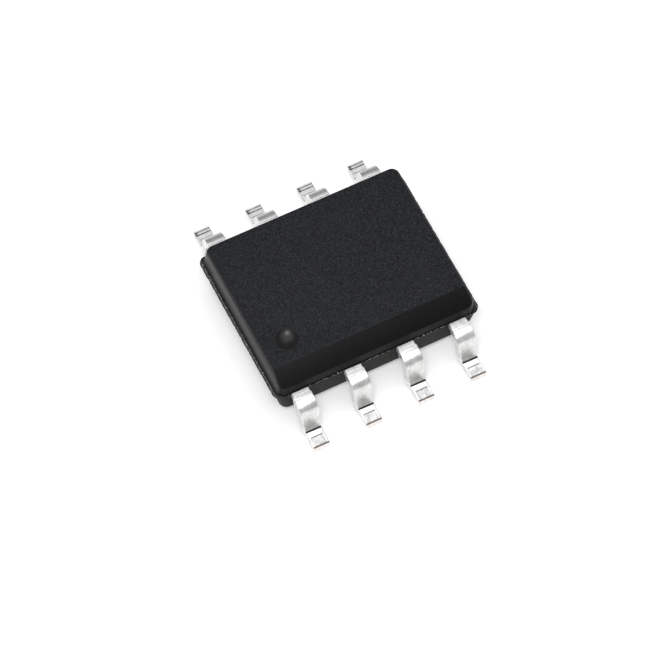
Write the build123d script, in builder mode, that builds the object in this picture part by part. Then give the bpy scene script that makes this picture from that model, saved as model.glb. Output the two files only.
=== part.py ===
"""Eight-lead small-outline integrated circuit: moulded body, gull-wing leads, and the
die pad, die and bond wires sealed inside. +X runs along the lead rows, -Y is the side of
leads 1 to 4 (with the bevelled edge), +Z is up; the origin is centred under the body on
the board the feet stand on."""

import os
from math import cos, radians, sin, tan

from build123d import *

# ---- lead frame (mm) ----
pin_pitch = 1.27
pins_per_side = 4
lead_reach = 1.05  # from the side of the body to the toe
lead_thickness = 0.20
lead_top = 0.95  # top face of the flat part of each lead, level with the parting line
shoulder_length = 0.23  # flat run from the body to the first bend
inner_bend_radius = 0.08
shin_lean = 14.0  # degrees away from upright
exit_width = 0.40
exit_length = 0.10  # narrow stub next to the body
shoulder_width = 0.44
foot_width = 0.38
inner_tip_inset = 0.68  # how far a lead reaches into the body
finger_length = 0.36  # wide inner end that takes the bond wire
finger_gap = 0.16  # clear space between neighbouring fingers
row_end_finger_reach = 0.16  # outward overhang of the finger on a lead at a row's end
gap_finger_to_pad = 0.16

# ---- moulded body (mm) ----
body_length = 4.88
body_width = 3.90
standoff = 0.17
body_top = 1.44
lower_end_draft = 12.0  # degrees
upper_end_draft = 7.0
side_draft = 7.0
corner_radius = 0.18
upper_end_setback = 0.04  # the upper half is this much shorter at each end
upper_side_setback = 0.02
flash_reach = 0.045  # thin fin left by the mould round the two short ends
flash_thickness = 0.025
bevel_run = 0.43
bevel_drop = 0.245
top_edge_radius = 0.03
bottom_edge_radius = 0.06
dimple_diameter = 0.51
dimple_depth = 0.09
dimple_from_end = 0.729  # dimple centre to the body's end
dimple_from_side = 1.014

# ---- die pad, die and wires (mm) ----
pad_length = 2.50
pad_downset = 0.13
tie_bar_width = 0.30
tie_bar_flat = 0.38
tie_bar_cover = 0.06  # mould compound over the cut end of a tie bar
tie_bar_slope_run = 0.24
die_length = 1.50
die_width = 1.20
die_thickness = 0.22
attach_thickness = 0.02
attach_margin = 0.04
wire_diameter = 0.03
ball_diameter = 0.08
ball_height = 0.02
bond_inset = 0.12  # ball centre to the die's edge
wire_rise = 0.15  # top of the loop above the die
stitch_inset = 0.14  # end of the wire to the finger's inner edge
stitch_height = 0.012
ball_pitch = 0.40  # spacing of the balls along the die
wire_knee_share = 0.3  # how far along its run a wire starts down
wire_landing = 0.09  # height above the finger where a wire turns down to its stitch
wire_bend_radius = 0.045
cutter_margin = 0.5

# ---- worked out from the above ----
half_length = body_length / 2
half_width = body_width / 2
toe_reach = half_width + lead_reach
lead_bottom = lead_top - lead_thickness
parting_height = lead_top
tip_y = half_width - inner_tip_inset
pad_half_width = tip_y - gap_finger_to_pad
pad_top = lead_top - pad_downset
pad_bottom = pad_top - lead_thickness
die_bottom = pad_top + attach_thickness
die_top = die_bottom + die_thickness
wire_start = die_top + ball_height
wire_top = die_top + wire_rise
row_half = pin_pitch * (pins_per_side - 1) / 2
pin_positions = [index * pin_pitch - row_half for index in range(pins_per_side)]
finger_half_pitch = (pin_pitch - finger_gap) / 2


def lead_profile():
    """Side view of a gull-wing lead, drawn flat as (Y, Z) and reaching out along +Y."""
    outer = inner_bend_radius + lead_thickness
    turn = radians(90 - shin_lean)
    along = Vector(cos(turn), -sin(turn))
    out = Vector(sin(turn), cos(turn))
    both_radii = outer + inner_bend_radius
    shin = (lead_bottom - both_radii * (1 - cos(turn))) / sin(turn)
    shoulder_centre = Vector(half_width + shoulder_length, lead_top - outer)
    foot_centre = shoulder_centre + out * both_radii + along * shin
    up = Vector(0, 1)
    over = (out + up).normalized()
    top_start = shoulder_centre + up * outer
    top_end = shoulder_centre + out * outer
    foot_top_start = foot_centre - out * inner_bend_radius
    foot_top_end = foot_centre - up * inner_bend_radius
    heel_start = foot_centre - out * outer
    heel_end = foot_centre - up * outer
    under_start = shoulder_centre + up * inner_bend_radius
    under_end = shoulder_centre + out * inner_bend_radius
    with BuildLine() as outline:
        Line((tip_y, lead_top), top_start)
        ThreePointArc(top_start, shoulder_centre + over * outer, top_end)
        Line(top_end, foot_top_start)
        ThreePointArc(foot_top_start, foot_centre - over * inner_bend_radius, foot_top_end)
        Polyline(foot_top_end, (toe_reach, lead_thickness), (toe_reach, 0), heel_end)
        ThreePointArc(heel_end, foot_centre - over * outer, heel_start)
        Line(heel_start, under_end)
        ThreePointArc(under_end, shoulder_centre + over * inner_bend_radius, under_start)
        Polyline(under_start, (tip_y, lead_bottom), (tip_y, lead_top))
    return outline.line


def plan_outline():
    """Plan view of a lead's width in (X, Y): narrow at the body, wide shoulder, slimmer foot."""
    shoulder_end = half_width + shoulder_length + inner_bend_radius + lead_thickness
    foot_start = shoulder_end + lead_thickness
    half_exit = exit_width / 2
    half_shoulder = shoulder_width / 2
    half_foot = foot_width / 2
    right_side = [
        (half_exit, tip_y),
        (half_exit, half_width + exit_length),
        (half_shoulder, half_width + exit_length),
        (half_shoulder, shoulder_end),
        (half_foot, foot_start),
        (half_foot, toe_reach),
    ]
    left_side = [(-x, y) for x, y in reversed(right_side)]
    with BuildLine() as outline:
        Polyline(*right_side, *left_side, close=True)
    return outline.line


def finger_span(pin_x):
    """Inner and outer X of the wide inner end of the lead standing at pin_x."""
    if abs(pin_x) < row_half:
        return pin_x - finger_half_pitch, pin_x + finger_half_pitch
    outward = exit_width / 2 + row_end_finger_reach
    inward = finger_half_pitch
    return (pin_x - inward, pin_x + outward) if pin_x > 0 else (pin_x - outward, pin_x + inward)


def gull_wing_lead(pin_x):
    """One formed lead at pin_x on the +Y side, with the finger buried in the body."""
    profile = lead_profile()
    width_outline = plan_outline()
    finger_start, finger_stop = finger_span(pin_x)
    with BuildPart() as lead:
        with BuildSketch(Plane.YZ.offset(-shoulder_width / 2)) as side_view:
            add(profile)
            make_face()
        extrude(amount=shoulder_width)
        with BuildSketch() as plan_view:
            add(width_outline)
            make_face()
        extrude(amount=lead_top, mode=Mode.INTERSECT)
        with BuildSketch(Plane.XY.offset(lead_bottom)) as finger:
            with Locations(((finger_start + finger_stop) / 2 - pin_x, tip_y)):
                Rectangle(finger_stop - finger_start, finger_length, align=(Align.CENTER, Align.MIN))
        extrude(amount=lead_thickness)
    return lead.part.moved(Location((pin_x, 0, 0)))


def bond_wire(ball_x, finger_x):
    """Gold wire looping from a ball on the die to a stitch on a finger, on the +Y side."""
    ball = Vector(ball_x, die_width / 2 - bond_inset)
    stitch = Vector(finger_x, tip_y + stitch_inset)
    knee = ball + (stitch - ball) * wire_knee_share
    with BuildPart() as wire:
        with BuildLine() as route:
            FilletPolyline(
                (ball.X, ball.Y, wire_start),
                (ball.X, ball.Y, wire_top),
                (knee.X, knee.Y, wire_top),
                (stitch.X, stitch.Y, lead_top + wire_landing),
                (stitch.X, stitch.Y, lead_top + stitch_height),
                radius=wire_bend_radius,
            )
        with BuildSketch(Plane.XY.offset(wire_start).move(Location((ball.X, ball.Y)))):
            Circle(wire_diameter / 2)
        sweep(path=route.line)
        with BuildSketch(Plane.XY.offset(die_top)):
            with Locations((ball.X, ball.Y)):
                Circle(ball_diameter / 2)
        extrude(amount=ball_height)
        with BuildSketch(Plane.XY.offset(lead_top)):
            with Locations((stitch.X, stitch.Y)):
                Circle(ball_diameter / 2)
        extrude(amount=stitch_height)
    return wire.part


def to_front(piece):
    """Turn a piece made on the +Y side half a turn about Z, onto the -Y side."""
    return piece.rotate(Axis.Z, 180)


# Leads 1 to 4 run along -Y towards +X; leads 5 to 8 come back along +Y towards -X.
leads = [to_front(gull_wing_lead(-pin_x)) for pin_x in pin_positions]
leads += [gull_wing_lead(pin_x) for pin_x in reversed(pin_positions)]


def wire_over(pin_x):
    """The bond wire that belongs to the lead at pin_x, on the +Y side."""
    finger_start, finger_stop = finger_span(pin_x)
    return bond_wire(pin_x * ball_pitch / pin_pitch, (finger_start + finger_stop) / 2)


wires = [to_front(wire_over(-pin_x)) for pin_x in pin_positions]
wires += [wire_over(pin_x) for pin_x in reversed(pin_positions)]

with BuildPart() as die_pad:
    with BuildSketch(Plane.XY.offset(pad_bottom)) as paddle:
        Rectangle(pad_length, 2 * pad_half_width)
    extrude(amount=lead_thickness)
    tie_bar_end = half_length - tie_bar_cover
    slope_start = tie_bar_end - tie_bar_flat
    slope_end = slope_start - tie_bar_slope_run
    with BuildSketch(Plane.XZ) as tie_bar_side:
        with BuildLine() as tie_bar_outline:
            Polyline(
                (tie_bar_end, lead_top),
                (slope_start, lead_top),
                (slope_end, pad_top),
                (pad_length / 2, pad_top),
                (pad_length / 2, pad_bottom),
                (slope_end, pad_bottom),
                (slope_start, lead_bottom),
                (tie_bar_end, lead_bottom),
                close=True,
            )
        make_face()
        mirror(about=Plane.YZ)
    extrude(amount=tie_bar_width / 2, both=True)
die_pad.part.label = "die_pad"

with BuildPart() as die_attach:
    with BuildSketch(Plane.XY.offset(pad_top)) as glue_line:
        Rectangle(die_length + 2 * attach_margin, die_width + 2 * attach_margin)
    extrude(amount=attach_thickness)
die_attach.part.label = "die_attach"

with BuildPart() as die:
    with BuildSketch(Plane.XY.offset(die_bottom)) as die_outline:
        Rectangle(die_length, die_width)
    extrude(amount=die_thickness)
die.part.label = "die"

lower_height = parting_height - standoff
upper_height = body_top - parting_height
with BuildPart() as package_body:
    with BuildSketch(Plane.XY.offset(standoff)) as underside:
        RectangleRounded(
            body_length - 2 * lower_height * tan(radians(lower_end_draft)),
            body_width - 2 * lower_height * tan(radians(side_draft)),
            corner_radius,
        )
    with BuildSketch(Plane.XY.offset(parting_height)) as lower_parting:
        RectangleRounded(body_length, body_width, corner_radius)
    loft(ruled=True)
    fillet(package_body.faces().sort_by(Axis.Z)[0].edges(), bottom_edge_radius)
    with BuildSketch(Plane.XY.offset(parting_height - flash_thickness)) as flash:
        RectangleRounded(body_length + 2 * flash_reach, body_width, corner_radius)
    extrude(amount=flash_thickness)
    upper_length = body_length - 2 * upper_end_setback
    upper_width = body_width - 2 * upper_side_setback
    with BuildSketch(Plane.XY.offset(parting_height)) as upper_parting:
        RectangleRounded(upper_length, upper_width, corner_radius)
    with BuildSketch(Plane.XY.offset(body_top)) as top_face:
        RectangleRounded(
            upper_length - 2 * upper_height * tan(radians(upper_end_draft)),
            upper_width - 2 * upper_height * tan(radians(side_draft)),
            corner_radius,
        )
    loft(ruled=True)
    fillet(package_body.faces().sort_by(Axis.Z)[-1].edges(), top_edge_radius)
    bevel_foot_z = body_top - bevel_drop
    bevel_foot_y = -upper_width / 2 + (bevel_foot_z - parting_height) * tan(radians(side_draft))
    bevel_top_y = bevel_foot_y + bevel_run
    with BuildSketch(Plane.YZ) as bevel_cut:
        with BuildLine() as bevel_outline:
            Polyline(
                (bevel_foot_y, bevel_foot_z),
                (bevel_top_y, body_top),
                (bevel_top_y, body_top + cutter_margin),
                (bevel_foot_y - cutter_margin, body_top + cutter_margin),
                (bevel_foot_y - cutter_margin, bevel_foot_z),
                close=True,
            )
        make_face()
    extrude(amount=body_length, both=True, mode=Mode.SUBTRACT)
    dimple_radius = ((dimple_diameter / 2) ** 2 + dimple_depth**2) / (2 * dimple_depth)
    dimple_x = dimple_from_end - half_length
    dimple_y = dimple_from_side - half_width
    with Locations((dimple_x, dimple_y, body_top + dimple_radius - dimple_depth)):
        Sphere(dimple_radius, mode=Mode.SUBTRACT)
    for inner_piece in [*leads, *wires, die_pad.part, die_attach.part, die.part]:
        add(inner_piece, mode=Mode.SUBTRACT)
package_body.part.label = "package_body"

os.makedirs("parts", exist_ok=True)
export_step(package_body.part, "parts/package_body.step")
export_step(die_pad.part, "parts/die_pad.step")
export_step(die_attach.part, "parts/die_attach.step")
export_step(die.part, "parts/die.step")
for number, (lead, wire) in enumerate(zip(leads, wires), start=1):
    lead.label = f"lead_{number}"
    export_step(lead, f"parts/lead_{number}.step")
    wire.label = f"bond_wire_{number}"
    export_step(wire, f"parts/bond_wire_{number}.step")
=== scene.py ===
"""Looks of an eight-lead small-outline chip: a mould-compound body with a ragged parting
line, and eight tinned gull-wing leads. Everything is in metres, in the frame of the part."""

from math import cos, pi, radians, sin, tan

import bmesh
import bpy
from mathutils import Matrix, Vector


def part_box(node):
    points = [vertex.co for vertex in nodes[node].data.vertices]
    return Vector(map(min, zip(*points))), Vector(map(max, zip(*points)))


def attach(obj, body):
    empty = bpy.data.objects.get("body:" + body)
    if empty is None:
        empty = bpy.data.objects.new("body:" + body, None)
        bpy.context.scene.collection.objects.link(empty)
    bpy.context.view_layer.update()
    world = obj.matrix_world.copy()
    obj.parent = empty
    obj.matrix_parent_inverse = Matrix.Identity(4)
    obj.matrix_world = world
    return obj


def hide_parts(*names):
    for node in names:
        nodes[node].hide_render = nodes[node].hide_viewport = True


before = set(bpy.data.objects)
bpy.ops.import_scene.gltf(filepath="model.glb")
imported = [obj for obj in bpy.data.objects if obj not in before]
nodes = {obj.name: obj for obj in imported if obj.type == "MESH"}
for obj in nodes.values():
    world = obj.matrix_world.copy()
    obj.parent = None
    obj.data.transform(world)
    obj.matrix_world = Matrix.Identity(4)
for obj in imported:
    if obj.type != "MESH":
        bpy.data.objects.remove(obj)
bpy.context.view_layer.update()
MM = 0.001

# ---- the chip's own sizes, as its part gives them (m) ----
lead_names = [f"lead_{number}" for number in range(1, 9)]
body_low, body_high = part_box("package_body")
lead_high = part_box("lead_5")[1]
lead_thickness = 0.20 * MM
lead_top = lead_high.z
toe_reach = lead_high.y
shoulder_length = 0.23 * MM
inner_bend_radius = 0.08 * MM
shin_lean = radians(14)
exit_width = 0.40 * MM
exit_length = 0.10 * MM
shoulder_width = 0.44 * MM
foot_width = 0.38 * MM
pin_pitch = 1.27 * MM
row_half = 1.5 * pin_pitch
lead_edge_radius = 0.018 * MM
lead_root = 0.10 * MM
waist_run = 0.012 * MM
toe_cap = 0.012 * MM
toe_margin = 0.01 * MM
taper_start = 0.20 * MM
taper_end = 0.45 * MM

standoff = body_low.z
body_top = body_high.z
parting_height = lead_top
half_width = body_high.y
flash_reach = 0.045 * MM
flash_thickness = 0.025 * MM
flash_width = 0.12 * MM
flash_clearance = 0.003 * MM
half_length = body_high.x - flash_reach
lower_end_slope = tan(radians(12))
upper_end_slope = tan(radians(7))
side_slope = tan(radians(7))
corner_radius = 0.18 * MM
end_setback = 0.04 * MM
side_setback = 0.02 * MM
top_edge_radius = 0.03 * MM
bottom_edge_radius = 0.06 * MM
bevel_run = 0.43 * MM
bevel_drop = 0.245 * MM
dimple_radius = 0.255 * MM
dimple_depth = 0.09 * MM
dimple_from_end = 0.729 * MM
dimple_from_side = 1.014 * MM
dimple_centre = Vector((dimple_from_end - half_length, dimple_from_side - half_width, body_top))
edge_softening = 0.014 * MM
lip_softening = 0.016 * MM
ledge_overhang = 0.004 * MM

# ---- places on the leads, in millimetres as the finishes read them: the forming tool's marks, and
# where shade and light are painted. A reach is taken outwards from the chip's middle line, a height
# upwards from the board, and a half width from the middle of the lead ----
# Where the painted shade of each foot's bend lies, its width, its fade and the foot beyond it.
bend_shade_reach = 2.580
bend_shade_width = 0.036
bend_shade_fade = 0.13
bend_to_foot = 0.06
exit_mark = (2.138, 2.156)
exit_end = 2.11
press_mark = (2.735, 2.765)
pressed_from = 2.75
toe_mark_from = 2.970
toe_mark_heights = (0.150, 0.215)
back_mark_inner = (2.860, 2.893)
back_mark_outer = (2.936, 2.962)
back_nick_reach = (2.87, 2.965)
back_nick_from_middle = -0.12
foot_level_heights = (0.165, 0.36)
scuff_and_shade_heights = (0.30, 0.50)
shin_heights = (0.28, 0.82)
shoulder_height = 0.84
press_half_width = 0.145
flat_half_width = 0.184
face_half_width = 0.202

# ---- brightness the table adds of its own: to the camera, and in mirror-like surfaces ----
table_lift = 0.30
table_lift_reflected = 0.26


# ------------------------------------------------------------------ shader writing
class Signal:
    """A shader socket that can be used in a Python expression."""

    def __init__(self, shader, socket):
        self.shader = shader
        self.socket = socket

    def _maths(self, operation, *values):
        return self.shader.add("ShaderNodeMath", {"operation": operation}, *values)

    def __add__(self, other):
        return self._maths("ADD", self, other)

    def __radd__(self, other):
        return self._maths("ADD", other, self)

    def __sub__(self, other):
        return self._maths("SUBTRACT", self, other)

    def __rsub__(self, other):
        return self._maths("SUBTRACT", other, self)

    def __mul__(self, other):
        return self._maths("MULTIPLY", self, other)

    def __rmul__(self, other):
        return self._maths("MULTIPLY", other, self)

    def __lt__(self, other):
        return self._maths("LESS_THAN", self, other)

    def __abs__(self):
        return self._maths("ABSOLUTE", self)


class Shader:
    """One material, written node by node."""

    def __init__(self, name):
        self.material = bpy.data.materials.new(name)
        self.material.use_nodes = True
        self.tree = self.material.node_tree
        self.surface = self.tree.nodes["Principled BSDF"]

    def add(self, kind, settings=None, *values, output=0, **named):
        """Adds a node: its settings first, then values or signals for its sockets."""
        node = self.tree.nodes.new(kind)
        for key, value in (settings or {}).items():
            if key == "stops":
                ramp = node.color_ramp
                while len(ramp.elements) < len(value):
                    ramp.elements.new(1.0)
                for element, (place, colour) in zip(ramp.elements, value):
                    element.position = place
                    element.color = colour
            else:
                setattr(node, key, value)
        for place, value in [*enumerate(values), *named.items()]:
            self.feed(node.inputs[place.replace("_", " ") if isinstance(place, str) else place], value)
        return Signal(self, node.outputs[output])

    def feed(self, socket, value):
        """Links a signal to a socket, or gives the socket a plain value."""
        if isinstance(value, Signal):
            self.tree.links.new(value.socket, socket)
        elif value is not None:
            socket.default_value = value

    def set(self, **values):
        """Sets or links the sockets of the surface itself."""
        for name, value in values.items():
            self.feed(self.surface.inputs[name.replace("_", " ")], value)

    def place(self):
        """Position on the object, in millimetres."""
        where = self.add("ShaderNodeTexCoord", output="Object")
        return self.add("ShaderNodeVectorMath", {"operation": "SCALE"}, where, Scale=1 / MM)

    def axes(self, vector):
        """The three parts of a vector."""
        split = self.add("ShaderNodeSeparateXYZ", None, vector)
        return [Signal(self, split.socket.node.outputs[index]) for index in range(3)]

    def noise(self, vector, scale, detail=2.0, roughness=0.5, distortion=0.0):
        """Cloudy noise; scale counts its grains in each millimetre."""
        return self.add(
            "ShaderNodeTexNoise", None, vector,
            Scale=scale, Detail=detail, Roughness=roughness, Distortion=distortion,
        )

    def stretch(self, vector, factors):
        """The position scaled apart along its axes, for streaks."""
        return self.add("ShaderNodeVectorMath", {"operation": "MULTIPLY"}, vector, factors)

    def ramp(self, value, *stops):
        """A value turned into another by straight runs between (place, level) stops."""
        shaped = [(place, (level, level, level, 1)) for place, level in stops]
        return self.add("ShaderNodeValToRGB", {"stops": shaped}, value)

    def band(self, value, start, end, soft):
        """1 where the value lies between start and end, with soft edges."""
        settings = {"interpolation_type": "SMOOTHSTEP"}
        rise = self.add("ShaderNodeMapRange", settings, value, start - soft, start + soft, 0.0, 1.0)
        fall = self.add("ShaderNodeMapRange", settings, value, end - soft, end + soft, 1.0, 0.0)
        return rise * fall

    def step(self, value, place, soft, falling=False):
        """0 before a place and 1 after it, or the other way round, with a soft edge."""
        ends = (1.0, 0.0) if falling else (0.0, 1.0)
        settings = {"interpolation_type": "SMOOTHSTEP"}
        return self.add("ShaderNodeMapRange", settings, value, place - soft, place + soft, *ends)

    def wrap(self, value, half):
        """The value brought back between -half and half, so that it repeats."""
        return self.add("ShaderNodeMath", {"operation": "WRAP"}, value, half, -half)

    def distance(self, first, second):
        """How far apart two places are."""
        return self.add("ShaderNodeVectorMath", {"operation": "DISTANCE"}, first, second, output="Value")

    def mix(self, factor, first, second):
        """A colour between two colours; a Mix node keeps its colours in sockets 6 and 7."""
        node = self.tree.nodes.new("ShaderNodeMix")
        node.data_type = "RGBA"
        self.feed(node.inputs[0], factor)
        self.feed(node.inputs[6], first)
        self.feed(node.inputs[7], second)
        return Signal(self, node.outputs[2])

    def bump(self, height, depth, strength=1.0):
        """A normal from a height between 0 and 1; depth is its size in metres."""
        return self.add("ShaderNodeBump", None, Strength=strength, Distance=depth, Height=height)


def grey(level):
    """An even grey, opaque."""
    return (level, level, level, 1.0)


# ------------------------------------------------------------------ finishes
# Places and soft edges are in millimetres, and colours are linear.
def mould_compound():
    """Black filled epoxy: spark-eroded grain on top, smoother drafts and a glossy dimple, with painted sheen
    on the top face and the end drafts and a painted warm reflection of the floor on the lower half.
    """
    shader = Shader("mould_compound")
    where = shader.place()
    across, _, height = shader.axes(where)
    from_dimple = shader.distance(where, dimple_centre / MM)
    in_dimple = shader.step(from_dimple, dimple_radius / MM, 0.02, falling=True)
    on_top = shader.step(height, body_top / MM - 0.012, 0.006)
    below = shader.step(height, parting_height / MM - 0.01, 0.005, falling=True)
    long_side = shader.step(abs(across), (half_length - corner_radius) / MM, 0.03, falling=True)
    parting = shader.band(height, parting_height / MM, parting_height / MM + 0.045, 0.006) * long_side
    # The ends above the parting line are given a paler colour: painted sheen on the end drafts.
    upright_x = abs(across) + (height - parting_height / MM) * upper_end_slope
    end_sheen_paint = shader.step(upright_x, (half_length - end_setback) / MM - 0.035, 0.008)
    grain = shader.noise(where, 24.0, 2.0, 0.7)
    fine = shader.noise(where, 46.0, 1.0, 0.5)
    worn = shader.noise(where, 1.1, 3.0, 0.6)
    coarse_spot = shader.ramp(grain, (0.42, 0.0), (0.62, 1.0))
    filler = shader.ramp(fine, (0.55, 0.0), (0.68, 1.0))
    # Both colours are lighter and bluer on the top face: painted sheen.
    dark = shader.mix(on_top, grey(0.0014), (0.0016, 0.0019, 0.0026, 1))
    light = shader.mix(on_top, (0.0044, 0.0046, 0.0048, 1), (0.0135, 0.0148, 0.0185, 1))
    mottled = shader.mix(coarse_spot * 0.8, dark, light)
    specked = shader.mix(filler * on_top * 0.5, mottled, (0.064, 0.067, 0.077, 1))
    rubbed = shader.mix(shader.ramp(worn, (0.45, 0.0), (0.65, 0.2)), specked, light)
    with_end_sheen = shader.mix(end_sheen_paint * (0.58 + coarse_spot * 0.2), rubbed, (0.050, 0.050, 0.050, 1))
    # The lower half is lifted to a warm grey-brown: a painted reflection of the floor.
    lower = shader.mix(below * 0.35, with_end_sheen, (0.026, 0.024, 0.019, 1))
    shader.set(
        Base_Color=shader.mix(in_dimple, lower, grey(0.0018)),
        Roughness=0.30 + grain * 0.10 + on_top * 0.14 + parting * 0.50 + below * 0.26,
        Coat_Weight=in_dimple * 0.50,
        Normal=shader.bump((grain * 0.7 + fine * 0.3) * (0.45 + on_top * 0.55), 0.006 * MM, 0.9),
    )
    shader.surface.inputs["Specular IOR Level"].default_value = 0.165
    shader.surface.inputs["Coat Roughness"].default_value = 0.36
    return shader.material


def flash_crumb():
    """Torn mould flash, where the pale filler shows."""
    shader = Shader("flash_crumb")
    speck = shader.noise(shader.place(), 26.0, 2.0, 0.6)
    filler = shader.ramp(speck, (0.38, 0.0), (0.62, 1.0))
    pale = shader.mix(filler, (0.045, 0.042, 0.038, 1), (0.44, 0.42, 0.39, 1))
    shader.set(Base_Color=pale, Roughness=0.65 + speck * 0.2)
    return shader.material


def fin_skin():
    """The thin mould flash itself: dark resin, paler where it has been rubbed."""
    shader = Shader("fin_skin")
    where = shader.place()
    rub = shader.noise(where, 30.0, 2.0, 0.6)
    beyond = abs(shader.axes(where)[0])
    crest = shader.band(beyond, half_length / MM - 0.012, half_length / MM + 0.026, 0.008)
    worn = crest * shader.ramp(rub, (0.44, 0.15), (0.62, 1.0))
    colour = shader.mix(worn, grey(0.007), (0.130, 0.125, 0.115, 1))
    shader.set(Base_Color=colour, Roughness=0.5 + rub * 0.2)
    return shader.material


def tin_plate():
    """Bright tin over copper, with the press marks of the forming tool, painted shade in each foot's bend,
    on the shins and on the back leads, and painted light on the front leads next to the body.
    """
    shader = Shader("tin_plate")
    where = shader.place()
    across, along, height = shader.axes(where)
    reach = abs(along)
    front = along < 0.0
    off_middle = shader.wrap(across - pin_pitch / MM / 2, pin_pitch / MM / 2)
    from_middle = abs(off_middle)
    streak = shader.noise(shader.stretch(where, (9.0, 2.0, 2.0)), 3.0, 3.0, 0.6)
    drag = shader.noise(shader.stretch(where, (2.0, 11.0, 11.0)), 3.0, 2.0, 0.6)
    blotch = shader.noise(where, 7.0, 3.0, 0.6)
    pits = shader.noise(where, 38.0, 2.0, 0.5)
    flat = shader.step(from_middle, flat_half_width, 0.004, falling=True)
    low = shader.band(height, *foot_level_heights, 0.008) * flat

    # A dark line in the inside of each foot's bend, with a softer grey run up to it: painted shade.
    bend_shade = shader.band(reach, bend_shade_reach, bend_shade_reach + bend_shade_width, 0.009) * low
    bend_shade_edge = shader.band(reach, bend_shade_reach - bend_shade_fade, bend_shade_reach, 0.04) * low
    # The lower shin is darkened in streaks, scuffs and painted shade together, and the whole shin a little
    # by painted shade.
    scuff_and_shade = shader.band(height, *scuff_and_shade_heights, 0.08) * shader.ramp(drag, (0.40, 0.0), (0.60, 1.0))
    shin = shader.band(height, *shin_heights, 0.05)
    exit_line = shader.band(reach, *exit_mark, 0.008) * shader.ramp(blotch, (0.40, 0.0), (0.52, 1.0))
    foot = shader.step(reach, bend_shade_reach + bend_to_foot, 0.02) * low
    shoulder = shader.step(height, shoulder_height, 0.02)
    inside = shader.step(from_middle, press_half_width, 0.015, falling=True)
    faces = shader.step(from_middle, face_half_width, 0.006, falling=True)
    left_edge = shader.step(off_middle, back_nick_from_middle, 0.03, falling=True)
    press_line = shader.band(reach, *press_mark, 0.010) * inside * low
    pressed = shader.step(reach, pressed_from, 0.012) * inside * low
    toe_band = shader.band(height, *toe_mark_heights, 0.004)
    toe_line = shader.step(reach, toe_mark_from, 0.006) * toe_band * flat
    near_exit = shader.step(reach, exit_end, 0.03, falling=True)
    back_lines = shader.band(reach, *back_mark_inner, 0.009) + shader.band(reach, *back_mark_outer, 0.008)
    back_nick = shader.band(reach, *back_nick_reach, 0.012) * left_edge * 0.75
    back_marks = (back_lines * shader.ramp(streak, (0.34, 0.5), (0.50, 1.0)) + back_nick) * low
    back = 1 - front

    shade = shader.ramp(streak * 0.45 + blotch * 0.55, (0.36, 0.0), (0.58, 1.0))
    plate = shader.mix(shade, (0.70, 0.70, 0.69, 1), (0.93, 0.93, 0.92, 1))
    # Scuffs and painted shade on the shins.
    scuffed_and_shaded = shader.mix(scuff_and_shade * 0.20 + shin * 0.10, plate, (0.26, 0.25, 0.24, 1))
    # The grey run up to the foot's bend: painted shade.
    edged = shader.mix(bend_shade_edge * 0.14, scuffed_and_shaded, (0.34, 0.33, 0.32, 1))
    pressed_dull = pressed * front * (0.85 - shade * 0.50)
    # The pressed recess and the exit line are dull tool marks; the back leads' feet and shoulders are greyed
    # as painted shade.
    dulling_and_back_shade = pressed_dull + exit_line * 0.42 + back * faces * (foot * 0.60 + shoulder * 0.58)
    dulled_and_back_shaded = shader.mix(dulling_and_back_shade, edged, (0.36, 0.36, 0.36, 1))
    marks = press_line * front * 0.85 + back_marks * back * 0.9
    marked = shader.mix(marks, dulled_and_back_shaded, (0.055, 0.052, 0.050, 1))
    lined = shader.mix(toe_line * front * 0.9, marked, (0.10, 0.075, 0.06, 1))
    shader.set(
        # The darkest colour, in each foot's bend: painted shade.
        Base_Color=shader.mix(bend_shade, lined, (0.030, 0.028, 0.026, 1)),
        # Beside the body the front leads are half non-metal, so their pale colour brightens them: painted
        # light.
        Metallic=0.90 - near_exit * front * 0.45,
        Roughness=0.24 + blotch * 0.14 + bend_shade * 0.3,
        Normal=shader.bump(
            streak * 0.55 + pits * 0.35 + 1.0 - pressed * 0.9 - exit_line * 0.4, 0.008 * MM, 0.8
        ),
    )
    return shader.material


def sheared_copper():
    """The sheared end of a toe: tin smeared down over copper from its upper edge."""
    shader = Shader("sheared_copper")
    where = shader.place()
    height = shader.axes(where)[2]
    smear = shader.noise(shader.stretch(where, (14.0, 1.0, 3.0)), 1.0, 3.0, 0.6)
    patch = shader.ramp(smear, (0.38, 0.0), (0.62, 1.0))
    bare = shader.mix(patch, (0.84, 0.78, 0.74, 1), (0.94, 0.92, 0.91, 1))
    burr = shader.step(height, lead_thickness / MM - 0.035, 0.010)
    shader.set(
        Base_Color=shader.mix(burr * 0.9, bare, (0.14, 0.10, 0.08, 1)),
        Metallic=1.0,
        Roughness=0.38 + smear * 0.2,
        Normal=shader.bump(smear, 0.008 * MM),
    )
    return shader.material


def plain_metal(name, dark, light, roughness):
    """An inner metal piece, with a faint rolled or drawn grain."""
    shader = Shader(name)
    where = shader.place()
    grain = shader.noise(shader.stretch(where, (3.0, 24.0, 3.0)), 2.0, 3.0, 0.6)
    colour = shader.mix(grain, dark, light)
    shader.set(
        Base_Color=colour, Metallic=1.0, Roughness=roughness + grain * 0.12,
        Normal=shader.bump(grain, 0.003 * MM, 0.5),
    )
    return shader.material


def silicon():
    """Polished silicon with the faint grid of its circuit blocks."""
    shader = Shader("silicon")
    where = shader.place()
    cells = shader.add(
        "ShaderNodeTexVoronoi", {"distance": "CHEBYCHEV"}, where, Scale=6.0, Randomness=0.4
    )
    block = shader.ramp(cells, (0.1, 0.0), (0.7, 1.0))
    colour = shader.mix(block, (0.07, 0.08, 0.11, 1), (0.16, 0.15, 0.20, 1))
    shader.set(Base_Color=colour, Metallic=0.6, Roughness=0.16 + cells * 0.1)
    return shader.material


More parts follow.
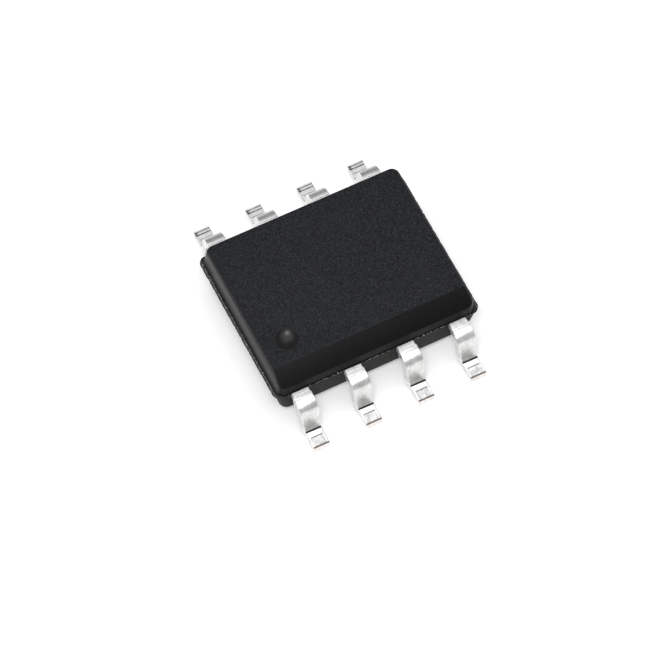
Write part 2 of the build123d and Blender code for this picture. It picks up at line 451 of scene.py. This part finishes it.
def silver_epoxy():
    """Grey silver-filled glue."""
    shader = Shader("silver_epoxy")
    speck = shader.noise(shader.place(), 40.0, 2.0, 0.6)
    colour = shader.mix(speck, grey(0.35), grey(0.62))
    shader.set(Base_Color=colour, Metallic=0.4, Roughness=0.45 + speck * 0.2)
    return shader.material


def white_table():
    """The floor: white to the camera and in reflections, and it keeps the shadow."""
    shader = Shader("white_table")
    seen = shader.add("ShaderNodeLightPath", output="Is Camera Ray")
    rays = seen.socket.node.outputs
    glossy = Signal(shader, rays["Is Glossy Ray"])
    through = Signal(shader, rays["Is Transmission Ray"])
    either = shader.add("ShaderNodeMath", {"operation": "MAXIMUM"}, glossy, through)
    reflected = shader.mix(either, grey(0.0), grey(table_lift_reflected))
    lift = shader.mix(seen, reflected, grey(table_lift))
    shader.set(Base_Color=grey(0.80), Roughness=0.9, Emission_Color=lift, Emission_Strength=1.0)
    shader.surface.inputs["Specular IOR Level"].default_value = 0.0
    return shader.material


# ------------------------------------------------------------------ meshes
def finished(name, mesh, material_list, body="root"):
    """Puts a mesh in the scene as a piece at the origin and lets it ride with the chip."""
    piece = bpy.data.objects.new(name, mesh)
    bpy.context.scene.collection.objects.link(piece)
    for material in material_list:
        piece.data.materials.append(material)
    if body:
        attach(piece, body)
    return piece


def rounded_outline(half_x, half_y, radius, steps=12):
    """Corner points of a rounded rectangle, anticlockwise from +X +Y."""
    points = []
    for turn, (side_x, side_y) in enumerate(((1, 1), (-1, 1), (-1, -1), (1, -1))):
        centre = Vector((side_x * (half_x - radius), side_y * (half_y - radius)))
        for step in range(steps + 1):
            angle = (turn + step / steps) * pi / 2
            points.append(centre + radius * Vector((cos(angle), sin(angle))))
    return points


def body_rings():
    """(half length, half width, corner radius, height) from the underside to the top."""
    lower = parting_height - standoff
    upper = body_top - parting_height
    rings = []

    def lower_half(height, inset=0.0):
        drop = parting_height - height
        reach = half_length - drop * lower_end_slope - inset
        breadth = half_width - drop * side_slope - inset
        rings.append((reach, breadth, corner_radius - inset * 0.6, height))

    def upper_half(height, inset=0.0):
        rise = height - parting_height
        reach = half_length - end_setback - rise * upper_end_slope - inset
        breadth = half_width - side_setback - rise * side_slope - inset
        rings.append((reach, breadth, corner_radius - inset * 0.6, height))

    round_steps = 6
    for step in range(round_steps + 1):
        angle = step / round_steps * pi / 2
        rise = bottom_edge_radius * (1 - cos(angle))
        lower_half(standoff + rise, bottom_edge_radius * (1 - sin(angle)))
    lower_half(standoff + lower * 0.5)
    lower_half(parting_height - flash_thickness)
    lower_half(parting_height)
    upper_half(parting_height)
    upper_half(parting_height + upper * 0.5)
    for step in range(round_steps + 1):
        angle = step / round_steps * pi / 2
        upper_half(body_top - top_edge_radius * (1 - sin(angle)), top_edge_radius * (1 - cos(angle)))
    return rings


def body_shell():
    """The moulded body as rings joined up and cut by the bevel; moulded_body takes the dimple out."""
    built = bmesh.new()
    previous = None
    for half_x, half_y, radius, height in body_rings():
        ring = [built.verts.new((*point, height)) for point in rounded_outline(half_x, half_y, radius)]
        if previous is None:
            built.faces.new(list(reversed(ring)))
        else:
            for index in range(len(ring)):
                following = (index + 1) % len(ring)
                built.faces.new((previous[index], previous[following], ring[following], ring[index]))
        previous = ring
    built.faces.new(previous)
    foot_z = body_top - bevel_drop
    foot_y = -(half_width - side_setback - (foot_z - parting_height) * side_slope)
    normal = Vector((0, -bevel_drop, bevel_run)).normalized()
    cut = bmesh.ops.bisect_plane(
        built, geom=[*built.verts, *built.edges, *built.faces], dist=1e-9,
        plane_co=(0, foot_y, foot_z), plane_no=normal, clear_outer=True,
    )
    rim = [item for item in cut["geom_cut"] if isinstance(item, bmesh.types.BMEdge)]
    bmesh.ops.holes_fill(built, edges=rim, sides=0)
    bmesh.ops.recalc_face_normals(built, faces=built.faces)
    mesh = bpy.data.meshes.new("moulded_body")
    built.to_mesh(mesh)
    built.free()
    return mesh


def dimple_cutter():
    """A ball whose lowest part is the hollow of the dimple."""
    ball_radius = (dimple_radius**2 + dimple_depth**2) / (2 * dimple_depth)
    built = bmesh.new()
    bmesh.ops.create_uvsphere(built, u_segments=96, v_segments=96, radius=ball_radius)
    lift = Vector((0, 0, ball_radius - dimple_depth))
    bmesh.ops.translate(built, vec=dimple_centre + lift, verts=built.verts)
    mesh = bpy.data.meshes.new("dimple_cutter")
    built.to_mesh(mesh)
    built.free()
    cutter = bpy.data.objects.new("dimple_cutter", mesh)
    bpy.context.scene.collection.objects.link(cutter)
    return cutter


def applied(holder, name):
    """A plain mesh of an object with its modifiers worked out."""
    graph = bpy.context.evaluated_depsgraph_get()
    mesh = bpy.data.meshes.new_from_object(holder.evaluated_get(graph), depsgraph=graph)
    mesh.name = name
    return mesh


def mend_normals(mesh):
    """Turns every face of a closed mesh outwards."""
    built = bmesh.new()
    built.from_mesh(mesh)
    bmesh.ops.recalc_face_normals(built, faces=built.faces)
    built.to_mesh(mesh)
    built.free()


def shade_by_angle(mesh, degrees):
    """Smooth faces, with edges sharper than the angle kept crisp."""
    built = bmesh.new()
    built.from_mesh(mesh)
    for face in built.faces:
        face.smooth = True
    for edge in built.edges:
        edge.smooth = len(edge.link_faces) == 2 and edge.calc_face_angle(0) < radians(degrees)
    built.to_mesh(mesh)
    built.free()


def moulded_body(material):
    """The finished body piece, which stands for the part's package_body."""
    holder = bpy.data.objects.new("body_stock", body_shell())
    bpy.context.scene.collection.objects.link(holder)
    soften = holder.modifiers.new("soften", "BEVEL")
    soften.width = edge_softening
    soften.segments = 3
    soften.limit_method = "ANGLE"
    soften.angle_limit = radians(20)
    cutter = dimple_cutter()
    hollow = holder.modifiers.new("dimple", "BOOLEAN")
    hollow.operation = "DIFFERENCE"
    hollow.solver = "EXACT"
    hollow.object = cutter
    lip = holder.modifiers.new("lip", "BEVEL")
    lip.width = lip_softening
    lip.segments = 3
    lip.limit_method = "ANGLE"
    lip.angle_limit = radians(30)
    mesh = applied(holder, "moulded_body")
    bpy.data.objects.remove(holder)
    bpy.data.objects.remove(cutter)
    shade_by_angle(mesh, degrees=30)
    piece = finished("moulded_body", mesh, [material])
    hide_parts("package_body")
    return piece


# ------------------------------------------------------------------ pieces by Geometry Nodes
class Geometry:
    """A Geometry Nodes tree with named inputs, written node by node."""

    def __init__(self, name, inputs):
        self.tree = bpy.data.node_groups.new(name, "GeometryNodeTree")
        self.tree.interface.new_socket("Geometry", in_out="INPUT", socket_type="NodeSocketGeometry")
        self.identifiers = {}
        for label, kind in inputs.items():
            made = self.tree.interface.new_socket(label, in_out="INPUT", socket_type=kind)
            self.identifiers[label] = made.identifier
        self.tree.interface.new_socket("Geometry", in_out="OUTPUT", socket_type="NodeSocketGeometry")
        self.start = self.tree.nodes.new("NodeGroupInput")
        self.end = self.tree.nodes.new("NodeGroupOutput")

    def given(self, label):
        return self.start.outputs[label]

    def add(self, kind, settings=None, *values, output=0, **named):
        node = self.tree.nodes.new(kind)
        for key, value in (settings or {}).items():
            setattr(node, key, value)
        for place, value in [*enumerate(values), *named.items()]:
            socket = node.inputs[place.replace("_", " ") if isinstance(place, str) else place]
            if isinstance(value, bpy.types.NodeSocket):
                self.tree.links.new(value, socket)
            elif value is not None:
                socket.default_value = value
        return node.outputs[output]

    def maths(self, operation, *values):
        return self.add("ShaderNodeMath", {"operation": operation}, *values)

    def split(self, vector):
        """The three parts of a vector."""
        return self.add("ShaderNodeSeparateXYZ", None, vector).node.outputs[:]

    def join(self, *parts):
        return self.add("ShaderNodeCombineXYZ", None, *parts)

    def close(self, geometry):
        self.tree.links.new(geometry, self.end.inputs[0])

    def run(self, name, mesh, values):
        """The tree's result on a mesh or curve, as a plain mesh."""
        holder = bpy.data.objects.new(name, mesh)
        bpy.context.scene.collection.objects.link(holder)
        modifier = holder.modifiers.new(name, "NODES")
        modifier.node_group = self.tree
        for label, value in values.items():
            modifier[self.identifiers[label]] = value
        result = applied(holder, name)
        bpy.data.objects.remove(holder)
        return result


def flash_tree():
    """Sweeps a thin fin along a path and nibbles its outer edge at the two ends."""
    tree = Geometry(
        "flash_fin",
        {
            "Width": "NodeSocketFloat", "Thickness": "NodeSocketFloat", "Step": "NodeSocketFloat",
            "Nibble": "NodeSocketFloat", "Grain": "NodeSocketFloat", "End X": "NodeSocketFloat",
            "Material": "NodeSocketMaterial",
        },
    )
    given = tree.given
    path = tree.add("GeometryNodeMeshToCurve", None, given("Geometry"))
    even = tree.add("GeometryNodeResampleCurve", {"mode": "LENGTH"}, path, Length=given("Step"))
    across, along, height = tree.split(tree.add("GeometryNodeInputPosition"))
    noise = tree.add("ShaderNodeTexNoise", None, Scale=given("Grain"), Detail=3.0, Roughness=0.7)
    bite = tree.add("ShaderNodeMapRange", None, noise, 0.45, 0.70, 0.0, given("Nibble"))
    at_end = tree.maths("GREATER_THAN", tree.maths("ABSOLUTE", across), given("End X"))
    inward = tree.maths("MULTIPLY", tree.maths("SIGN", across), tree.maths("MULTIPLY", bite, at_end))
    bitten = tree.join(tree.maths("SUBTRACT", across, inward), along, height)
    ragged = tree.add("GeometryNodeSetPosition", None, even, None, bitten)
    level = tree.add("GeometryNodeSetCurveNormal", {"mode": "Z_UP"}, ragged)
    section = tree.add(
        "GeometryNodeCurvePrimitiveQuadrilateral", None, Width=given("Width"), Height=given("Thickness")
    )
    fin = tree.add("GeometryNodeCurveToMesh", None, level, section, **{"Fill Caps": True})
    real = tree.add("GeometryNodeRealizeInstances", None, fin)
    tree.close(tree.add("GeometryNodeSetMaterial", None, real, None, given("Material")))
    return tree


def crumb_tree():
    """Scatters small broken grains over the faces it is given."""
    tree = Geometry(
        "flash_crumbs",
        {
            "Density": "NodeSocketFloat", "Grain Size": "NodeSocketFloat", "Seed": "NodeSocketInt",
            "Material": "NodeSocketMaterial",
        },
    )
    given = tree.given
    spots = tree.add(
        "GeometryNodeDistributePointsOnFaces", None, given("Geometry"),
        Density=given("Density"), Seed=given("Seed"),
    )
    grain = tree.add("GeometryNodeMeshIcoSphere", None, Radius=given("Grain Size"), Subdivisions=1)
    tilt = tree.add(
        "FunctionNodeRandomValue", {"data_type": "FLOAT_VECTOR"}, (0, 0, 0), (pi, pi, pi), Seed=given("Seed")
    )
    spread = tree.add(
        "FunctionNodeRandomValue", {"data_type": "FLOAT_VECTOR"}, (0.35, 0.5, 0.35), (1.0, 1.6, 0.9),
        Seed=given("Seed"),
    )
    placed = tree.add(
        "GeometryNodeInstanceOnPoints", None, spots, Instance=grain, Rotation=tilt, Scale=spread
    )
    real = tree.add("GeometryNodeRealizeInstances", None, placed)
    tree.close(tree.add("GeometryNodeSetMaterial", None, real, None, given("Material")))
    return tree


def flash_path():
    """The middle line of the fin round each end, as two chains of points."""
    inset = flash_width / 2
    outline = rounded_outline(
        half_length + flash_reach - inset, half_width - inset - flash_clearance, corner_radius - inset
    )
    corner = len(outline) // 4
    height = parting_height - flash_thickness / 2 + flash_clearance
    right_end = outline[3 * corner:] + outline[:corner]
    left_end = outline[corner:3 * corner]
    points = [(point.x, point.y, height) for point in [*right_end, *left_end]]
    count = 2 * corner
    chain = [(start + index, start + index + 1) for start in (0, count) for index in range(count - 1)]
    mesh = bpy.data.meshes.new("flash_path")
    mesh.from_pydata(points, chain, [])
    return mesh


def ledges(patches):
    """Flat patches of the parting ledge, each (low X, low Y, high X, high Y)."""
    points = []
    for low_x, low_y, high_x, high_y in patches:
        points += [(low_x, low_y), (high_x, low_y), (high_x, high_y), (low_x, high_y)]
    height = parting_height + flash_clearance
    mesh = bpy.data.meshes.new("ledges")
    faces = [tuple(range(first, first + 4)) for first in range(0, len(points), 4)]
    mesh.from_pydata([(*point, height) for point in points], [], faces)
    return mesh


def mould_flash(skin, crumb):
    """The ragged fin round both ends, and crumbs along the parting line."""
    fin = flash_tree().run(
        "flash_fin", flash_path(),
        {
            "Width": flash_width, "Thickness": flash_thickness, "Step": 0.012 * MM, "Nibble": 0.016 * MM,
            "Grain": 13.0 / MM, "End X": half_length - flash_width / 2, "Material": skin,
        },
    )
    mend_normals(fin)
    finished("flash_fin", fin, [])
    crumbs = crumb_tree()
    end_grain = 0.015 * MM
    inner = half_length - end_setback / 2 + end_grain / 2
    outer = half_length + flash_reach / 2
    straight = half_width - corner_radius
    ends = [(-outer, -straight, -inner, straight), (inner, -straight, outer, straight)]
    scatter = {
        "end_crumbs": (ends, {"Density": 1100 / MM**2, "Grain Size": end_grain, "Seed": 4}),
        "side_crumbs": (side_ledges(), {"Density": 1700 / MM**2, "Grain Size": 0.014 * MM, "Seed": 9}),
    }
    for name, (patches, sizes) in scatter.items():
        loose = crumbs.run(name, ledges(patches), sizes | {"Material": crumb})
        finished(name, loose, [])


def side_ledges():
    """Patches of the parting ledge between the leads, on both long sides."""
    low_y = half_width - side_setback * 0.5
    high_y = half_width + ledge_overhang
    lead_edges = [corner_radius - half_length]
    for place in range(4):
        centre = place * pin_pitch - row_half
        lead_edges += [centre - shoulder_width / 2, centre + shoulder_width / 2]
    lead_edges.append(half_length - corner_radius)
    gaps = zip(lead_edges[::2], lead_edges[1::2])
    return [
        (low_x, min(side * low_y, side * high_y), high_x, max(side * low_y, side * high_y))
        for low_x, high_x in gaps
        for side in (-1, 1)
    ]


def lead_tree():
    """Sweeps a rounded strip along a bent path, narrows it at the body and the foot, and gives
    the sheared end of the toe its own finish."""
    tree = Geometry(
        "gull_wing_strip",
        {
            "Width": "NodeSocketFloat", "Thickness": "NodeSocketFloat", "Edge Radius": "NodeSocketFloat",
            "Exit Width": "NodeSocketFloat", "Foot Width": "NodeSocketFloat",
            "Exit Y": "NodeSocketFloat", "Shoulder Y": "NodeSocketFloat", "Foot Y": "NodeSocketFloat",
            "Toe Y": "NodeSocketFloat", "Side": "NodeSocketFloat",
            "Centre X": "NodeSocketFloat", "Plate": "NodeSocketMaterial", "Cut End": "NodeSocketMaterial",
        },
    )
    given = tree.given
    section = tree.add(
        "GeometryNodeCurvePrimitiveQuadrilateral", None, Width=given("Width"), Height=given("Thickness")
    )
    rounded = tree.add(
        "GeometryNodeFilletCurve", {"mode": "POLY"}, section, Count=4, Radius=given("Edge Radius"),
    )
    path = tree.add("GeometryNodeMeshToCurve", None, given("Geometry"))
    strip = tree.add("GeometryNodeCurveToMesh", None, path, rounded, **{"Fill Caps": True})
    across, along, height = tree.split(tree.add("GeometryNodeInputPosition"))
    maths = tree.maths
    out = maths("MULTIPLY", along, given("Side"))
    waist = tree.add(
        "ShaderNodeMapRange", {"interpolation_type": "LINEAR"}, out, given("Exit Y"),
        maths("ADD", given("Exit Y"), waist_run), maths("DIVIDE", given("Exit Width"), given("Width")), 1.0,
    )
    taper = tree.add(
        "ShaderNodeMapRange", {"interpolation_type": "SMOOTHSTEP"}, out, given("Shoulder Y"),
        given("Foot Y"), 1.0, maths("DIVIDE", given("Foot Width"), given("Width")),
    )
    narrowed = maths("MULTIPLY", maths("MULTIPLY", across, waist), taper)
    placed = maths("ADD", narrowed, given("Centre X"))
    shaped = tree.add("GeometryNodeSetPosition", None, strip, None, tree.join(placed, along, height))
    plated = tree.add("GeometryNodeSetMaterial", None, shaped, None, given("Plate"))
    facing = tree.split(tree.add("GeometryNodeInputNormal"))
    facing_out = maths("GREATER_THAN", maths("MULTIPLY", facing[1], given("Side")), 0.9)
    at_toe = maths("GREATER_THAN", out, maths("SUBTRACT", given("Toe Y"), toe_margin))
    sheared = maths("MULTIPLY", facing_out, at_toe)
    capped = tree.add("GeometryNodeSetMaterial", None, plated, sheared, given("Cut End"))
    real = tree.add("GeometryNodeRealizeInstances", None, capped)
    tree.close(real)
    return tree


def lead_path(side):
    """The middle line of a lead as a chain of points, from inside the body to the toe."""
    turn = radians(90) - shin_lean
    outer = inner_bend_radius + lead_thickness
    middle = inner_bend_radius + lead_thickness / 2
    out = Vector((sin(turn), cos(turn)))
    down = Vector((cos(turn), -sin(turn)))
    both = outer + inner_bend_radius
    shin = (lead_top - lead_thickness - both * (1 - cos(turn))) / sin(turn)
    shoulder_centre = Vector((half_width + shoulder_length, lead_top - outer))
    foot_centre = shoulder_centre + out * both + down * shin
    inside = half_width - lead_root
    middle_height = lead_top - lead_thickness / 2
    points = [
        Vector((inside, middle_height)),
        Vector((half_width + exit_length, middle_height)),
        Vector((half_width + exit_length + waist_run, middle_height)),
    ]
    steps = 14
    for step in range(steps + 1):
        angle = turn * step / steps
        points.append(shoulder_centre + middle * Vector((sin(angle), cos(angle))))
    points.append(points[-1] + down * shin / 3)
    points.append(points[-1] + down * shin / 3)
    for step in range(steps + 1):
        angle = turn * (1 - step / steps)
        points.append(foot_centre - middle * Vector((sin(angle), cos(angle))))
    points.append(Vector((toe_reach - toe_cap, lead_thickness / 2)))
    points.append(Vector((toe_reach, lead_thickness / 2)))
    mesh = bpy.data.meshes.new("lead_path")
    chain = [(index, index + 1) for index in range(len(points) - 1)]
    mesh.from_pydata([(0, side * point.x, point.y) for point in points], chain, [])
    return mesh


def formed_leads(plate, cut_end):
    """All eight leads, each a piece that stands for its own node."""
    tree = lead_tree()
    for number, name in enumerate(lead_names):
        row_place = number % 4
        side = -1 if number < 4 else 1
        centre = side * (row_half - row_place * pin_pitch)
        mesh = tree.run(
            f"formed_{name}", lead_path(side),
            {
                "Width": shoulder_width, "Thickness": lead_thickness, "Edge Radius": lead_edge_radius,
                "Exit Width": exit_width, "Foot Width": foot_width,
                "Exit Y": half_width + exit_length,
                "Shoulder Y": half_width + shoulder_length + taper_start,
                "Foot Y": half_width + shoulder_length + taper_end,
                "Toe Y": toe_reach, "Side": float(side), "Centre X": centre,
                "Plate": plate, "Cut End": cut_end,
            },
        )
        mend_normals(mesh)
        shade_by_angle(mesh, degrees=35)
        piece = finished(f"formed_{name}", mesh, [])
        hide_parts(name)


# ------------------------------------------------------------------ stage, light and camera
def area_light(name, place, aim, size_x, size_y, power, tint=(1, 1, 1)):
    """A rectangular lamp at a place, turned to face another; sizes in metres, power in watts."""
    lamp = bpy.data.lights.new(name, "AREA")
    lamp.shape = "RECTANGLE"
    lamp.size = size_x
    lamp.size_y = size_y
    lamp.energy = power
    lamp.color = tint
    holder = bpy.data.objects.new(name, lamp)
    holder.location = place
    holder.rotation_euler = (Vector(aim) - Vector(place)).to_track_quat("-Z", "Y").to_euler()
    bpy.context.scene.collection.objects.link(holder)


def studio():
    """A white table, a large soft box above, a small key lamp at the front left, and a surround
    that is white to the camera and a mid grey to everything else."""
    mesh = bpy.data.meshes.new("table")
    reach = 0.25
    # a hair under the feet, so that they don't share a plane with the table
    level = -0.001 * MM
    corners = [(-reach, -reach), (reach, -reach), (reach, reach), (-reach, reach)]
    mesh.from_pydata([(*corner, level) for corner in corners], [], [(0, 1, 2, 3)])
    table = finished("table", mesh, [white_table()], body=None)
    area_light(
        "soft_box", place=(0.0, 0.015, 0.16), aim=(0.0, 0.015, 0.0),
        size_x=0.22, size_y=0.20, power=0.17, tint=(0.985, 0.99, 1.0),
    )
    area_light(
        "key", place=(-0.033, -0.052, 0.146), aim=(0, 0, 0), size_x=0.048, size_y=0.036, power=0.085
    )
    world = bpy.data.worlds.new("surround")
    world.use_nodes = True
    tree = world.node_tree
    lighting = tree.nodes["Background"]
    lighting.inputs["Color"].default_value = grey(0.38)
    backdrop = tree.nodes.new("ShaderNodeBackground")
    backdrop.inputs["Color"].default_value = grey(1.0)
    rays = tree.nodes.new("ShaderNodeLightPath")
    blend = tree.nodes.new("ShaderNodeMixShader")
    tree.links.new(rays.outputs["Is Camera Ray"], blend.inputs[0])
    tree.links.new(lighting.outputs[0], blend.inputs[1])
    tree.links.new(backdrop.outputs[0], blend.inputs[2])
    tree.links.new(blend.outputs[0], tree.nodes["World Output"].inputs[0])
    bpy.context.scene.world = world


def camera():
    """A long lens looking down over the front-left corner."""
    azimuth = radians(-26.23)
    elevation = radians(61.47)
    roll = radians(-0.33)
    distance = 91.23 * MM
    focal_length = 233.2465
    aim_right = -0.364 * MM
    aim_up = -0.759 * MM
    back = Vector((sin(azimuth) * cos(elevation), -cos(azimuth) * cos(elevation), sin(elevation)))
    right = Vector((0, 0, 1)).cross(back).normalized()
    up = back.cross(right)
    right, up = cos(roll) * right + sin(roll) * up, cos(roll) * up - sin(roll) * right
    target = Vector((0.0165 * MM, 0, 0.8 * MM)) + right * aim_right + up * aim_up
    lens = bpy.data.cameras.new("camera")
    lens.sensor_width = 36
    lens.lens = focal_length
    lens.clip_start = 0.001
    lens.clip_end = 5
    holder = bpy.data.objects.new("camera", lens)
    turn = Matrix((right, up, back)).transposed()
    holder.matrix_world = Matrix.Translation(target + back * distance) @ turn.to_4x4()
    bpy.context.scene.collection.objects.link(holder)
    bpy.context.scene.camera = holder


def dress_inner_nodes():
    """Finishes for the pieces sealed in the body."""
    copper = plain_metal("copper_pad", (0.72, 0.40, 0.28, 1), (0.84, 0.52, 0.38, 1), 0.3)
    gold = plain_metal("gold_wire", (0.88, 0.62, 0.22, 1), (0.98, 0.76, 0.34, 1), 0.2)
    finishes = {"die_pad": copper, "die_attach": silver_epoxy(), "die": silicon()}
    finishes |= {f"bond_wire_{number}": gold for number in range(1, 9)}
    for name, material in finishes.items():
        for held in nodes[name].material_slots:
            held.material = material


dress_inner_nodes()
moulded_body(mould_compound())
mould_flash(fin_skin(), flash_crumb())
formed_leads(tin_plate(), sheared_copper())
studio()
camera()
bpy.context.scene.view_settings.view_transform = "Standard"
